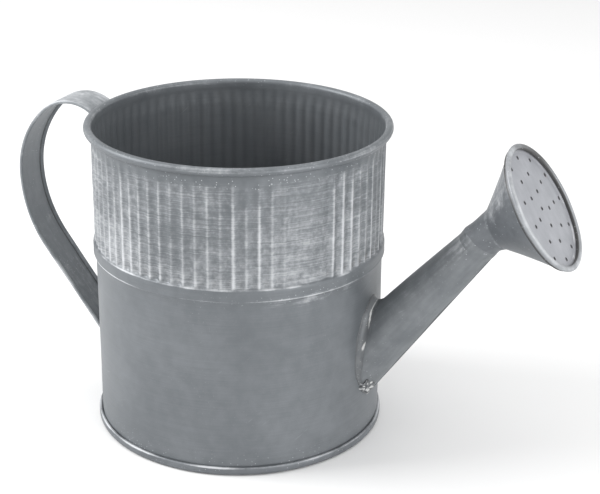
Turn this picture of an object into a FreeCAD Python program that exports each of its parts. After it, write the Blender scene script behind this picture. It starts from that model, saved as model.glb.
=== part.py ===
import FreeCAD, Part
import math
import os

# Watering can in galvanised sheet, soldered together. Millimetres, +Z up.
# The origin is the centre of the base on the ground, the spout leans towards +X
# and the handle stands at -X.

V = FreeCAD.Vector
ORIGIN = V(0, 0, 0)
UP = V(0, 0, 1)
BACK = V(0, 1, 0)

# How far a cutting tool runs past what it cuts, and the reach of one with no other limit
OVER = 1.0
FAR = 200.0

# Driving dimensions
SHEET = 0.5
HEIGHT = 165.7
WALL_R = 76.05
RIM_R = 80.0
RIM_BEAD_R = 2.1
RIM_WIRE_R = 1.4
RIM_COLLAR_STEP = 0.8
# Overlap of the turned sheets with the ribbed band that joins them
JOIN = 0.6

# Ribbed band, between the shoulder and the rim
RIB_COUNT = 74
RIB_BLANK_DEG = 15.73
RIB_BLANK_AT_DEG = 323.86
RIB_CREST_R = 76.5
RIB_DEPTH = 0.8
RIB_LOW_Z = 102.8
RIB_TOP_Z = 158.5

# Bulge under the ribs, and the shoulder that steps in to the plain wall
BULGE_R = 77.3
BULGE_TOP_Z = 101.0
SHOULDER_TOP_Z = 98.2
SHOULDER_LOW_Z = 92.5
RIDGE_Z = 96.4
RIDGE_HEIGHT = 0.3
RIDGE_HALF_WIDTH = 0.5
SHOULDER_INNER_RISE = 0.2

# The wall stops short of the ground, inside the hoop
WALL_LOW_Z = 0.6

# Base
SEAM_R = 77.6
SEAM_HEIGHT = 4.2
SEAM_GAP = 0.05
SEAM_CORNER = 0.9
SEAM_FOOT_CORNER = 0.4
SEAM_TUCK = 0.3
BASE_Z = 2.2
BASE_DISC_R = 75.5

# Spout tube, a cone frustum whose axis lies in the XZ plane
SPOUT_LOW = V(76.0, 0, 50.2)
SPOUT_TILT_DEG = 51.0
SPOUT_LENGTH = 92.0
SPOUT_LOW_R = 15.2
SPOUT_TAPER = 0.0626
SPOUT_BURIED = 26.0
WATER_WAY_END = 24.0
WATER_WAY_MARGIN = 0.4
LAP_WIDTH = 4.0
LAP_START = -16.0
LAP_SHEET = 0.3
LAP_END_GAP = 0.4

# Solder round the spout's root, pulled up so that it is widest above the tube
ROOT_SOLDER_WIDTH = 2.4
ROOT_SOLDER_RISE = 3.2
ROOT_SOLDER_HEIGHT = 1.6
ROOT_SOLDER_END = 40.0
ROOT_TOLERANCE = 0.001
LUMP_R = 3.8
LUMP_AT_DEG = -5.5
LUMP_RISE = 5.0
LUMP_STAND_OFF = 1.0

# Rose, a cone with a short socket that slides over the spout's end
ROSE_CENTRE = V(162.6, 0, 141.9)
ROSE_TILT_DEG = 33.1
ROSE_RIM_R = 33.7
ROSE_LIP_R = 1.5
ROSE_WIRE_R = 0.8
ROSE_FACE_BACK = 2.0
ROSE_SKIRT_OUT = 0.3
ROSE_SKIRT_IN = 0.6
ROSE_SKIRT_END = 0.2
ROSE_MOUTH = 0.4
SOCKET_START = 88.0
SOCKET_END = 93.5
SOCKET_GAP = 0.05
SOCKET_TAPER = 0.3
# Cone radius at distances behind the rim plane
ROSE_FLARE = [(26.5, 11.2), (20.0, 16.4), (9.5, 25.3)]
ROSE_PLATE_MARGIN = 0.65
ROSE_HOLE_R = 0.85
# Rings of holes as radius, count and the angle of the first hole
ROSE_RINGS = [(0.0, 1, 0.0), (9.5, 5, 144.0), (18.3, 9, 120.6), (27.3, 12, 81.5)]
NECK_SOLDER_LENGTH = 1.6
FACE_SOLDER_WIDTH = 1.4
FACE_SOLDER_HEIGHT = 0.6

# Handle strap: the middle line of its sheet as (radius, turn in degrees) arcs,
# taken from its highest point, first down the back and then to the rim
STRAP_WIDTH = 23.2
STRAP_SHEET = 0.6
STRAP_HEM_WIDTH = 3.0
STRAP_HEM_SHEET = 0.8
STRAP_HEM_SINK = 0.05
STRAP_TOP = V(-94.3, 0, 166.6)
STRAP_BACK_ARCS = [(25.1, 45.0), (53.1, 45.0), (70.0, 36.3)]
STRAP_FOOT_ARC_R = 10.0
STRAP_FOOT_LOW_Z = 14.0
STRAP_RIM_ARCS = [(22.0, 33.0), (2.6, 57.0)]
STRAP_DROP = 3.5
STRAP_JOGGLE_R = 3.0
STRAP_TAB_LOW_Z = 140.0
STRAP_TAB_LENGTH = 11.0
TAB_THICKNESS = 1.2
TAB_GAP = 0.05
TAB_CROWN = 0.45
# The strap's middle line stands off so that its curved tab fits behind it
STRAP_STAND_OFF = TAB_GAP + STRAP_SHEET / 2 + TAB_CROWN

SOLDER_WIDTH = 2.2
TAB_SOLDER_HEIGHT = 0.9
TAB_SOLDER_SHORT = 1.0
SEAM_SOLDER = 0.6
SEAM_SOLDER_WIDTH = 3.0
SEAM_SOLDER_MARGIN = 4.0


def box(low, high):
    size = high - low
    return Part.makeBox(size.x, size.y, size.z, low)


def revolved(edges):
    """A closed (r, z) outline in the XZ plane, turned about the Z axis."""
    face = Part.Face(Part.Wire(edges))
    return face.revolve(ORIGIN, UP, 360)


def at(r, z):
    return V(r, 0, z)


def polygon(points):
    """Straight edges through (r, z) points, closed."""
    corners = [at(r, z) for r, z in points]
    return Part.makePolygon(corners + corners[:1]).Edges


def polar(r, degrees, z=0.0):
    angle = math.radians(degrees)
    return V(r * math.cos(angle), r * math.sin(angle), z)


def direction(tilt_deg):
    """Unit vector in the XZ plane, tilted up from +X."""
    angle = math.radians(tilt_deg)
    return V(math.cos(angle), 0, math.sin(angle))


def save(name, shape):
    if not shape.isValid() or not shape.Solids:
        raise ValueError(name + " is not a valid solid")
    shape.exportStep("parts/" + name + ".step")
    low = shape.BoundBox
    print("%-22s %2d solid %9.1f mm3  z %.1f..%.1f"
          % (name, len(shape.Solids), shape.Volume, low.ZMin, low.ZMax))


# ---------------------------------------------------------------- body

def rib_circle(crest, valley):
    """Wavy ring: one round-topped rib per pitch, and a smooth panel at the seam."""
    pitch = (360.0 - RIB_BLANK_DEG) / (RIB_COUNT - 1)
    first = RIB_BLANK_AT_DEG + RIB_BLANK_DEG / 2
    edges = []
    for i in range(RIB_COUNT):
        middle = first + i * pitch
        left = polar(valley, middle - pitch / 2)
        right = polar(valley, middle + pitch / 2)
        edges.append(Part.Arc(left, polar(crest, middle), right).toShape())
    last = first + (RIB_COUNT - 0.5) * pitch
    panel = Part.Arc(polar(valley, last), polar(valley, RIB_BLANK_AT_DEG + 360),
                     polar(valley, first - pitch / 2 + 360))
    edges.append(panel.toShape())
    return Part.Wire(edges)


def ribbed_band():
    valley = RIB_CREST_R - RIB_DEPTH
    outer = Part.Face(rib_circle(RIB_CREST_R, valley))
    inner = Part.Face(rib_circle(RIB_CREST_R - SHEET, valley - SHEET))
    ring = outer.cut(inner)
    ring.translate(V(0, 0, RIB_LOW_Z))
    return ring.extrude(V(0, 0, RIB_TOP_Z - RIB_LOW_Z))


def lower_wall():
    """Plain wall, the shoulder with its ridge, and the bulge, as one turned sheet."""
    inner = WALL_R - SHEET
    valley_inner = RIB_CREST_R - RIB_DEPTH - SHEET
    overlap_z = RIB_LOW_Z + JOIN
    ridge_low = RIDGE_Z - RIDGE_HALF_WIDTH
    ridge_high = RIDGE_Z + RIDGE_HALF_WIDTH
    outline = polygon([
        (inner, WALL_LOW_Z), (WALL_R, WALL_LOW_Z),
        (WALL_R, SHOULDER_LOW_Z),
        (shoulder_r(ridge_low), ridge_low),
        (shoulder_r(RIDGE_Z) + RIDGE_HEIGHT, RIDGE_Z),
        (shoulder_r(ridge_high), ridge_high),
        (BULGE_R, SHOULDER_TOP_Z), (BULGE_R, BULGE_TOP_Z),
        (RIB_CREST_R, overlap_z), (valley_inner, overlap_z),
        (valley_inner, RIB_LOW_Z),
        (BULGE_R - SHEET, BULGE_TOP_Z),
        (BULGE_R - SHEET, SHOULDER_TOP_Z + SHOULDER_INNER_RISE),
        (inner, SHOULDER_LOW_Z + SHOULDER_INNER_RISE),
    ])
    return revolved(outline)


def shoulder_r(z):
    """Outer radius of the shoulder's straight slope."""
    climb = (z - SHOULDER_LOW_Z) / (SHOULDER_TOP_Z - SHOULDER_LOW_Z)
    return WALL_R + (BULGE_R - WALL_R) * climb


def rolled_rim():
    """Top collar of the wall, rolled outwards round the rim wire."""
    centre_r = RIM_R - RIM_BEAD_R
    centre_z = HEIGHT - RIM_BEAD_R
    tube = Part.makeTorus(centre_r, RIM_BEAD_R, V(0, 0, centre_z), UP)
    hollow = Part.makeTorus(centre_r, RIM_BEAD_R - SHEET, V(0, 0, centre_z), UP)
    inner = RIM_R - 2 * RIM_BEAD_R
    valley_inner = RIB_CREST_R - RIB_DEPTH - SHEET
    collar = revolved(polygon([
        (valley_inner, RIB_TOP_Z - JOIN), (RIB_CREST_R, RIB_TOP_Z - JOIN),
        (inner + SHEET, RIB_TOP_Z + RIM_COLLAR_STEP), (inner + SHEET, centre_z),
        (inner, centre_z), (inner, RIB_TOP_Z + JOIN), (valley_inner, RIB_TOP_Z),
    ]))
    return tube.cut(hollow).fuse(collar)


def spout_frustum(start, end, extra):
    """Solid cone along the spout's axis, with its radius changed by extra."""
    axis = direction(SPOUT_TILT_DEG)
    r_start = SPOUT_LOW_R - SPOUT_TAPER * start + extra
    r_end = SPOUT_LOW_R - SPOUT_TAPER * end + extra
    return Part.makeCone(r_start, r_end, end - start, SPOUT_LOW + axis * start, axis)


def body_wall():
    wall = ribbed_band().fuse([lower_wall(), rolled_rim()]).removeSplitter()
    water_way = spout_frustum(-SPOUT_BURIED, WATER_WAY_END, -SHEET - WATER_WAY_MARGIN)
    return wall.cut(water_way)


def rim_wire():
    return Part.makeTorus(RIM_R - RIM_BEAD_R, RIM_WIRE_R, V(0, 0, HEIGHT - RIM_BEAD_R), UP)


def base_plate():
    """Disc with its edge turned down inside the wall."""
    r = BASE_DISC_R
    top = BASE_Z + SHEET
    return revolved(polygon([
        (0, BASE_Z), (r - SHEET, BASE_Z), (r - SHEET, WALL_LOW_Z),
        (r, WALL_LOW_Z), (r, top), (0, top),
    ]))


def base_seam():
    """Folded hoop that grips the edges of the wall and the base plate."""
    slot_out = WALL_R + SEAM_GAP
    slot_in = BASE_DISC_R - SHEET - SEAM_GAP
    inner = slot_in - SHEET
    low = WALL_LOW_Z - SEAM_GAP
    return revolved(polygon([
        (inner, SEAM_FOOT_CORNER), (inner + SEAM_FOOT_CORNER, 0),
        (SEAM_R - SEAM_CORNER, 0), (SEAM_R, SEAM_CORNER),
        (SEAM_R, SEAM_HEIGHT - SEAM_CORNER), (SEAM_R - SEAM_CORNER, SEAM_HEIGHT),
        (slot_out, SEAM_HEIGHT), (slot_out, low), (slot_in, low),
        (slot_in, BASE_Z - SEAM_TUCK), (inner, BASE_Z - SEAM_TUCK),
    ]))


def body_seam_solder():
    """Solder down the inside of the wall's side seam, behind the smooth panel."""
    low = SEAM_HEIGHT + SEAM_SOLDER_MARGIN
    height = SHOULDER_LOW_Z - SEAM_SOLDER_MARGIN - low
    strip = Part.makeCylinder(WALL_R - SHEET, height, V(0, 0, low))
    strip = strip.cut(Part.makeCylinder(WALL_R - SHEET - SEAM_SOLDER, height, V(0, 0, low)))
    half = SEAM_SOLDER_WIDTH / 2
    strip = strip.common(box(V(WALL_R / 2, -half, 0), V(WALL_R, half, HEIGHT)))
    strip.rotate(ORIGIN, UP, RIB_BLANK_AT_DEG)
    return strip


# --------------------------------------------------------------- spout

def wall_plug(radius):
    """Solid cylinder that everything outside the wall is trimmed against."""
    return Part.makeCylinder(radius, HEIGHT)


def spout_tube():
    tube = spout_frustum(-SPOUT_BURIED, SPOUT_LENGTH, 0.0)
    tube = tube.cut(spout_frustum(-SPOUT_BURIED - OVER, SPOUT_LENGTH + OVER, -SHEET))
    trimmed = tube.cut(wall_plug(WALL_R))
    return max(trimmed.Solids, key=lambda s: s.Volume)


def spout_seam():
    """Lap strip along the underside of the spout tube."""
    end = SOCKET_START - NECK_SOLDER_LENGTH - LAP_END_GAP
    shell = spout_frustum(LAP_START, end, LAP_SHEET)
    shell = shell.cut(spout_frustum(LAP_START - OVER, end + OVER, 0.0))
    corner = V(0, -LAP_WIDTH / 2, LAP_START)
    slab = Part.makeBox(2 * SPOUT_LOW_R, LAP_WIDTH, end - LAP_START, corner)
    turn = FreeCAD.Rotation(BACK, 90.0 - SPOUT_TILT_DEG)
    slab.Placement = FreeCAD.Placement(SPOUT_LOW, turn).multiply(slab.Placement)
    return shell.common(slab)


def spout_root_solder():
    """Solder fillet round the spout's root: a low collar on the wall."""
    collar = spout_frustum(-SPOUT_BURIED, ROOT_SOLDER_END, ROOT_SOLDER_WIDTH)
    collar.translate(UP * ROOT_SOLDER_RISE)
    reach = ROOT_SOLDER_RISE + OVER
    collar = collar.cut(spout_frustum(-SPOUT_BURIED - reach, ROOT_SOLDER_END + reach, 0.0))
    ring = collar.common(wall_plug(WALL_R + ROOT_SOLDER_HEIGHT).cut(wall_plug(WALL_R)))
    return max(ring.Solids, key=lambda s: s.Volume)


def root_low_point():
    """Where the underside of the spout meets the wall."""
    axis = direction(SPOUT_TILT_DEG)
    below = direction(SPOUT_TILT_DEG - 90)
    point = SPOUT_LOW
    along = 0.0
    while abs(WALL_R - point.x) > ROOT_TOLERANCE:
        point = SPOUT_LOW + axis * along + below * (SPOUT_LOW_R - SPOUT_TAPER * along)
        along += (WALL_R - point.x) / axis.x
    return point


def solder_lump(fillet):
    """Blob of solder that set on the lower edge of the spout's root."""
    centre = polar(WALL_R + LUMP_STAND_OFF, LUMP_AT_DEG, root_low_point().z + LUMP_RISE)
    lump = Part.makeSphere(LUMP_R, centre)
    lump = lump.cut(wall_plug(WALL_R))
    lump = lump.cut(spout_frustum(-SPOUT_BURIED, ROOT_SOLDER_END, 0.0))
    lump = lump.cut(fillet)
    return max(lump.Solids, key=lambda s: s.Volume)


# ---------------------------------------------------------------- rose

def circle_wire(centre, normal, radius):
    return Part.Wire(Part.makeCircle(radius, centre, normal))


def rose_solid(extra, socket_start, face_back):
    """Socket, elbow and flared cone as one solid, its radius changed by extra."""
    spout_axis = direction(SPOUT_TILT_DEG)
    rose_axis = direction(ROSE_TILT_DEG)
    socket_r = SPOUT_LOW_R - SPOUT_TAPER * SOCKET_START + SHEET + SOCKET_GAP + extra
    neck_r = socket_r - SOCKET_TAPER
    rings = [
        circle_wire(SPOUT_LOW + spout_axis * socket_start, spout_axis, socket_r),
        circle_wire(SPOUT_LOW + spout_axis * SOCKET_END, spout_axis, neck_r),
    ]
    for back, radius in ROSE_FLARE + [(face_back, ROSE_RIM_R - ROSE_LIP_R)]:
        rings.append(circle_wire(ROSE_CENTRE - rose_axis * back, rose_axis, radius + extra))
    return Part.makeLoft(rings, True, True)


def rose_cone():
    shell = rose_solid(0.0, SOCKET_START, ROSE_FACE_BACK)
    shell = shell.cut(rose_solid(-SHEET, SOCKET_START - OVER, ROSE_FACE_BACK - ROSE_MOUTH))
    return max(shell.Solids, key=lambda s: s.Volume)


def placed_on_face(shape):
    """Moves a shape built on the XY plane to the rose's rim plane."""
    turn = FreeCAD.Rotation(UP, direction(ROSE_TILT_DEG))
    shape.Placement = FreeCAD.Placement(ROSE_CENTRE, turn).multiply(shape.Placement)
    return shape


def rose_rim():
    """Rolled lip that closes over the edge of the perforated plate."""
    centre_r = ROSE_RIM_R - ROSE_LIP_R
    lip = Part.makeTorus(centre_r, ROSE_LIP_R, ORIGIN, UP)
    lip = lip.cut(Part.makeTorus(centre_r, ROSE_LIP_R - SHEET, ORIGIN, UP))
    depth = ROSE_FACE_BACK + ROSE_SKIRT_END
    skirt = Part.makeCylinder(centre_r + ROSE_SKIRT_OUT, depth, V(0, 0, -depth))
    bore = Part.makeCylinder(centre_r - ROSE_SKIRT_IN, depth + 2 * OVER, V(0, 0, -depth - OVER))
    skirt = skirt.cut(bore)
    skirt = skirt.cut(Part.makeTorus(centre_r, ROSE_LIP_R - SHEET / 2, ORIGIN, UP))
    ring = lip.fuse(skirt)
    ring = placed_on_face(ring)
    ring = ring.cut(rose_solid(0.0, SOCKET_START, ROSE_FACE_BACK))
    return max(ring.Solids, key=lambda s: s.Volume)


def rose_rim_wire():
    return placed_on_face(Part.makeTorus(ROSE_RIM_R - ROSE_LIP_R, ROSE_WIRE_R, ORIGIN, UP))


def rose_face():
    """Perforated plate, set back inside the lip."""
    plate_r = ROSE_RIM_R - ROSE_LIP_R - ROSE_PLATE_MARGIN
    plate = Part.makeCylinder(plate_r, SHEET, V(0, 0, -ROSE_FACE_BACK))
    holes = []
    for radius, count, first in ROSE_RINGS:
        for i in range(count):
            place = polar(radius, first + i * 360.0 / count, -ROSE_FACE_BACK - OVER)
            holes.append(Part.makeCylinder(ROSE_HOLE_R, SHEET + 2 * OVER, place))
    return placed_on_face(plate.cut(Part.makeCompound(holes)))


def rose_face_solder():
    """Thin ring of solder in the corner between the plate and the lip."""
    outer = ROSE_RIM_R - ROSE_LIP_R - ROSE_PLATE_MARGIN
    top = -ROSE_FACE_BACK + SHEET
    ring = revolved(polygon([
        (outer - FACE_SOLDER_WIDTH, top), (outer, top), (outer, top + FACE_SOLDER_HEIGHT),
    ]))
    lip = Part.makeTorus(ROSE_RIM_R - ROSE_LIP_R, ROSE_LIP_R, ORIGIN, UP)
    return placed_on_face(ring.cut(lip))


def neck_solder():
    """Solder ring where the rose's socket ends on the spout."""
    start = SOCKET_START - NECK_SOLDER_LENGTH
    axis = direction(SPOUT_TILT_DEG)
    tube_r = SPOUT_LOW_R - SPOUT_TAPER * start
    ring = Part.makeCone(tube_r + SOCKET_GAP, tube_r + SHEET, NECK_SOLDER_LENGTH,
                         SPOUT_LOW + axis * start, axis)
    return ring.cut(spout_frustum(start - OVER, SOCKET_START + OVER, 0.0))


# -------------------------------------------------------------- handle

def strap_line():
    """Edges of the strap's middle line, from the rim tab to the foot."""
    down = []
    point = STRAP_TOP
    heading = 180.0
    for radius, turn in STRAP_BACK_ARCS:
        edge, point, heading = arc_step(point, heading, radius, turn)
        down.append(edge)
    foot_r = WALL_R + STRAP_STAND_OFF
    foot_turn = 270.0 - heading
    drop_x = STRAP_FOOT_ARC_R * (1 - math.cos(math.radians(foot_turn)))
    run = (-foot_r - drop_x - point.x) / math.cos(math.radians(heading))
    edge, point = line_step(point, heading, run)
    down.append(edge)
    edge, point, heading = arc_step(point, heading, STRAP_FOOT_ARC_R, foot_turn)
    down.append(edge)
    edge, point = line_step(point, heading, point.z - STRAP_FOOT_LOW_Z)
    down.append(edge)
    up = []
    point = STRAP_TOP
    heading = 0.0
    for radius, turn in STRAP_RIM_ARCS:
        edge, point, heading = arc_step(point, heading, radius, -turn)
        up.append(edge)
    edge, point = line_step(point, heading, STRAP_DROP)
    up.append(edge)
    tab_r = RIB_CREST_R + STRAP_STAND_OFF
    side = -tab_r - point.x
    straight = (side - 2 * STRAP_JOGGLE_R * (1 - math.sqrt(0.5))) * math.sqrt(2)
    edge, point, heading = arc_step(point, heading, STRAP_JOGGLE_R, 45.0)
    up.append(edge)
    edge, point = line_step(point, heading, straight)
    up.append(edge)
    edge, point, heading = arc_step(point, heading, STRAP_JOGGLE_R, -45.0)
    up.append(edge)
    edge, point = line_step(point, heading, point.z - STRAP_TAB_LOW_Z)
    up.append(edge)
    return up, down


def line_step(point, heading, length):
    end = point + direction(heading) * length
    return Part.makeLine(point, end), end


def arc_step(point, heading, radius, turn):
    """Arc tangent to the heading; a positive turn is anticlockwise in (X, Z)."""
    side = 90.0 if turn > 0 else -90.0
    centre = point + direction(heading + side) * radius
    middle = centre + direction(heading - side + turn / 2) * radius
    end = centre + direction(heading - side + turn) * radius
    return Part.Arc(point, middle, end).toShape(), end, heading + turn


def ribbon(edges, thickness, width, offset):
    """Sheet that follows edges in the XZ plane, centred on Y = 0."""
    path = Part.Wire(edges)
    inner = path.makeOffset2D(offset - thickness / 2, 0, False, True)
    outer = path.makeOffset2D(offset + thickness / 2, 0, False, True)
    ends = [
        Part.makeLine(inner.OrderedVertexes[0].Point, outer.OrderedVertexes[0].Point),
        Part.makeLine(inner.OrderedVertexes[-1].Point, outer.OrderedVertexes[-1].Point),
    ]
    outline = Part.Wire(Part.__sortEdges__(inner.Edges + outer.Edges + ends))
    sheet = Part.Face(outline).extrude(BACK * width)
    sheet.translate(BACK * (-width / 2))
    return sheet


def handle_side(half_width, low_z, high_z):
    """Block on the handle's side of the can, centred on the XZ plane."""
    return box(V(-FAR, -half_width, low_z), V(0, half_width, high_z))


def tab_ring(low_z, wall_r):
    """Curved end of the strap that lies on the wall."""
    low = V(0, 0, low_z)
    ring = Part.makeCylinder(wall_r + TAB_GAP + TAB_THICKNESS, STRAP_TAB_LENGTH, low)
    ring = ring.cut(Part.makeCylinder(wall_r + TAB_GAP, STRAP_TAB_LENGTH, low))
    return ring.common(handle_side(STRAP_WIDTH / 2, low_z, low_z + STRAP_TAB_LENGTH))


def handle_strap():
    up, down = strap_line()
    whole = list(reversed(up)) + down
    sheet = ribbon(whole, STRAP_SHEET, STRAP_WIDTH, 0.0)
    pieces = [
        tab_ring(STRAP_TAB_LOW_Z, RIB_CREST_R),
        tab_ring(STRAP_FOOT_LOW_Z, WALL_R),
    ]
    hemmed = [up[0]] + down[:4]
    fold = ribbon(hemmed, STRAP_HEM_SHEET, STRAP_WIDTH, inward_offset(hemmed))
    fold = fold.cut(handle_side(STRAP_WIDTH / 2 - STRAP_HEM_WIDTH, -FAR, FAR))
    strap = sheet.fuse(pieces + fold.Solids)
    strap = strap.cut(wall_plug(WALL_R + TAB_GAP))
    band = Part.makeCylinder(RIB_CREST_R + TAB_GAP, HEIGHT - RIB_LOW_Z, V(0, 0, RIB_LOW_Z))
    return strap.cut(band)


def inward_offset(edges):
    """Offset of the hems: the side of the strap that bounds less, facing the can."""
    distance = (STRAP_SHEET + STRAP_HEM_SHEET) / 2 - STRAP_HEM_SINK
    path = Part.Wire(edges)
    one_side = path.makeOffset2D(distance, 0, False, True)
    other_side = path.makeOffset2D(-distance, 0, False, True)
    return distance if one_side.BoundBox.XMin > other_side.BoundBox.XMin else -distance


def handle_solder(low_z, wall_r, strap):
    """Solder along the sides and the lower edge of one strap end."""
    half = STRAP_WIDTH / 2
    low = low_z - SOLDER_WIDTH
    high = low_z + STRAP_TAB_LENGTH - TAB_SOLDER_SHORT
    foot = V(0, 0, low)
    ring = Part.makeCylinder(wall_r + TAB_GAP + TAB_SOLDER_HEIGHT, high - low, foot)
    ring = ring.cut(Part.makeCylinder(wall_r, high - low, foot))
    block = ring.common(handle_side(half + SOLDER_WIDTH, low, high))
    solder = block.cut(handle_side(half, low_z, high + OVER)).cut(strap)
    return max(solder.Solids, key=lambda s: s.Volume)


def main():
    os.makedirs("parts", exist_ok=True)
    strap = handle_strap()
    fillet = spout_root_solder()
    nodes = {
        "body_wall": body_wall(),
        "rim_wire": rim_wire(),
        "base_plate": base_plate(),
        "base_seam": base_seam(),
        "body_seam_solder": body_seam_solder(),
        "spout_tube": spout_tube(),
        "spout_seam": spout_seam(),
        "spout_root_solder": fillet,
        "solder_lump": solder_lump(fillet),
        "neck_solder": neck_solder(),
        "rose_cone": rose_cone(),
        "rose_rim": rose_rim(),
        "rose_rim_wire": rose_rim_wire(),
        "rose_face": rose_face(),
        "rose_face_solder": rose_face_solder(),
        "handle_strap": strap,
        "handle_top_solder": handle_solder(STRAP_TAB_LOW_Z, RIB_CREST_R, strap),
        "handle_foot_solder": handle_solder(STRAP_FOOT_LOW_Z, WALL_R, strap),
    }
    for name, shape in nodes.items():
        save(name, shape)


main()
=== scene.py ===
import math

import bmesh
import bpy
import numpy as np
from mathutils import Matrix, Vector


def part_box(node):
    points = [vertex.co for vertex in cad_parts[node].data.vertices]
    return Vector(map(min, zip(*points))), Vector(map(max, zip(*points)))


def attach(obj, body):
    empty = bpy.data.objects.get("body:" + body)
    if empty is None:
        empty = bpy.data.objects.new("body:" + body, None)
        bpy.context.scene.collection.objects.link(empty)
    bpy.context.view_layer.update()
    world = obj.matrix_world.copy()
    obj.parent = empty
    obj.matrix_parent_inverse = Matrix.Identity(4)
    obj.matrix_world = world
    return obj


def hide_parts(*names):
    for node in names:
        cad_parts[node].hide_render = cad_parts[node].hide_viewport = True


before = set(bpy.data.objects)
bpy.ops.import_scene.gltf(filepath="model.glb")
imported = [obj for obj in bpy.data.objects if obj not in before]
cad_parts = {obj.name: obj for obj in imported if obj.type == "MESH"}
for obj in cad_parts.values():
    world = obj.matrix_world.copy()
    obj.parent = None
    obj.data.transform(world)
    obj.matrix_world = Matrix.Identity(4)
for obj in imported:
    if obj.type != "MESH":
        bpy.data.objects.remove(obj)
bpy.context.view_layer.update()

# Metres, in the frame of the CAD model: origin at the centre of the base, spout to +X.
MM = 0.001
_, WALL_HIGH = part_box("body_wall")
_, SEAM_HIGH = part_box("base_seam")
STRAP_LOW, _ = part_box("handle_strap")
TOP_Z = WALL_HIGH.z
RIM_R = WALL_HIGH.x

SHEET = 0.5 * MM
WALL_R = 76.05 * MM
WALL_LOW_Z = 0.6 * MM
BEAD_R = 2.1 * MM
# Ribs all round, but for one smooth panel where the side seam runs
RIB_COUNT = 74
BLANK_DEG = 15.73
BLANK_AT_DEG = 323.86
CREST_R = 76.5 * MM
RIB_DEPTH = 0.8 * MM
RIB_LOW_Z = 102.8 * MM
RIB_TOP_Z = 158.5 * MM
DIMPLE_Z = RIB_LOW_Z + 2.6 * MM
DIMPLE_DEPTH = 0.45 * MM
BULGE_R = 77.3 * MM
BULGE_TOP_Z = 101.0 * MM
SHOULDER_TOP_Z = 98.2 * MM
SHOULDER_LOW_Z = 92.5 * MM
RIDGE_Z = 96.4 * MM
RIDGE_OUT = 0.3 * MM
HOOP_WIDTH = 3.3 * MM

SPOUT_LOW = np.array([76.0, 0.0, 50.2]) * MM
SPOUT_TILT = math.radians(51.0)
SPOUT_LOW_R = 15.2 * MM
SPOUT_TAPER = 0.0626
SPOUT_OUTER_ROWS = 48
SPOUT_INNER_ROWS = 16
WATER_WAY_CLEARANCE = 0.9 * MM
SOLDER_RISE = 0.32 * MM
# The crust's half sizes are round the spout, along it and out from it
CRUST_HALF_SIZES = np.array([4.6, 3.8, 0.95]) * MM
CRUST_AT_DEG = 324.0
CRUST_UP = 3.6 * MM
CRUST_OUT = 0.45 * MM
SOCKET_START = 88.0 * MM
SOCKET_END = 93.5 * MM
SOCKET_OVER = 0.35 * MM
SOCKET_DROP = 0.4 * MM
SOCKET_NARROWING = 0.4 * MM

ROSE_CENTRE = np.array([162.6, 0.0, 141.9]) * MM
ROSE_TILT = math.radians(33.1)
ROSE_RIM_R = 33.7 * MM
ROSE_LIP_R = 1.5 * MM
ROSE_FACE_BACK = 2.0 * MM
ROSE_HOLE_R = 0.85 * MM
ROSE_COLUMNS = 144
LIP_COLUMNS = 220
# Rings of holes as radius in mm, count and the angle of the first hole
ROSE_RINGS = [(0.0, 1, 0.0), (9.5, 5, 144.0), (18.3, 9, 120.6), (27.3, 12, 81.5)]
# Distance behind the rim plane and radius there
ROSE_FLARE = np.array([(2.0, 32.2), (9.5, 25.3), (20.0, 16.4), (26.5, 11.2)]) * MM
# Middle of a burr's section beyond the hole's edge, and its half width and half height
BURR_OUT = 0.06 * MM
BURR_HALF_WIDTH = 0.17 * MM
BURR_HALF_HEIGHT = 0.10 * MM

# The strap's arcs are (radius in mm, turn in degrees)
STRAP_TOP = np.array([-94.3, 166.6]) * MM
STRAP_BACK = [(25.1, 45.0), (53.1, 45.0), (70.0, 36.3)]
STRAP_RIM = [(22.0, 33.0), (2.6, 57.0)]
STRAP_FOOT_ARC_R = 10.0
STRAP_JOGGLE_R = 3.0
STRAP_DROP = 3.5 * MM
STRAP_TAB_LOW_Z = 140.0 * MM
STRAP_STAND_OFF = 0.8 * MM
STRAP_WIDTH = 23.2 * MM
STRAP_HALF_SHEET = 0.3 * MM
HEM_R = 0.95 * MM

rng = np.random.default_rng(7)


# ------------------------------------------------------------ mesh tools

def grid_faces(rows, columns, along=True):
    """Quads over a grid of points closed round its columns; along closes the rows too."""
    row_count = rows if along else rows - 1
    i, j = np.meshgrid(np.arange(row_count), np.arange(columns), indexing="ij")
    below, right = (i + 1) % rows, (j + 1) % columns
    corners = [i * columns + j, i * columns + right, below * columns + right, below * columns + j]
    return np.stack(corners, -1).reshape(-1, 4)


def new_piece(name, corners, faces, marks):
    """A smooth mesh object; marks are values at the corners that the materials read."""
    mesh = bpy.data.meshes.new(name)
    mesh.from_pydata(corners.tolist(), [], faces.tolist())
    for label, values in marks.items():
        layer = mesh.attributes.new(label, "FLOAT", "POINT")
        layer.data.foreach_set("value", np.asarray(values, np.float32).ravel())
    mesh.shade_smooth()
    mesh.update()
    obj = bpy.data.objects.new(name, mesh)
    bpy.context.scene.collection.objects.link(obj)
    return obj


def skin(name, grid, along=True, marks=None):
    """A mesh over a grid of points [row, column]."""
    rows, columns = grid.shape[:2]
    return new_piece(name, grid.reshape(-1, 3), grid_faces(rows, columns, along), marks or {})


def ramp(low, high, x):
    """0 on low's side, 1 on high's side, smooth between."""
    t = np.clip((x - low) / (high - low), 0.0, 1.0)
    return t * t * (3 - 2 * t)


def bump_at(x, middle, half_width):
    """1 at the middle, falling away to both sides."""
    return np.exp(-((x - middle) / half_width) ** 2)


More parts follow.
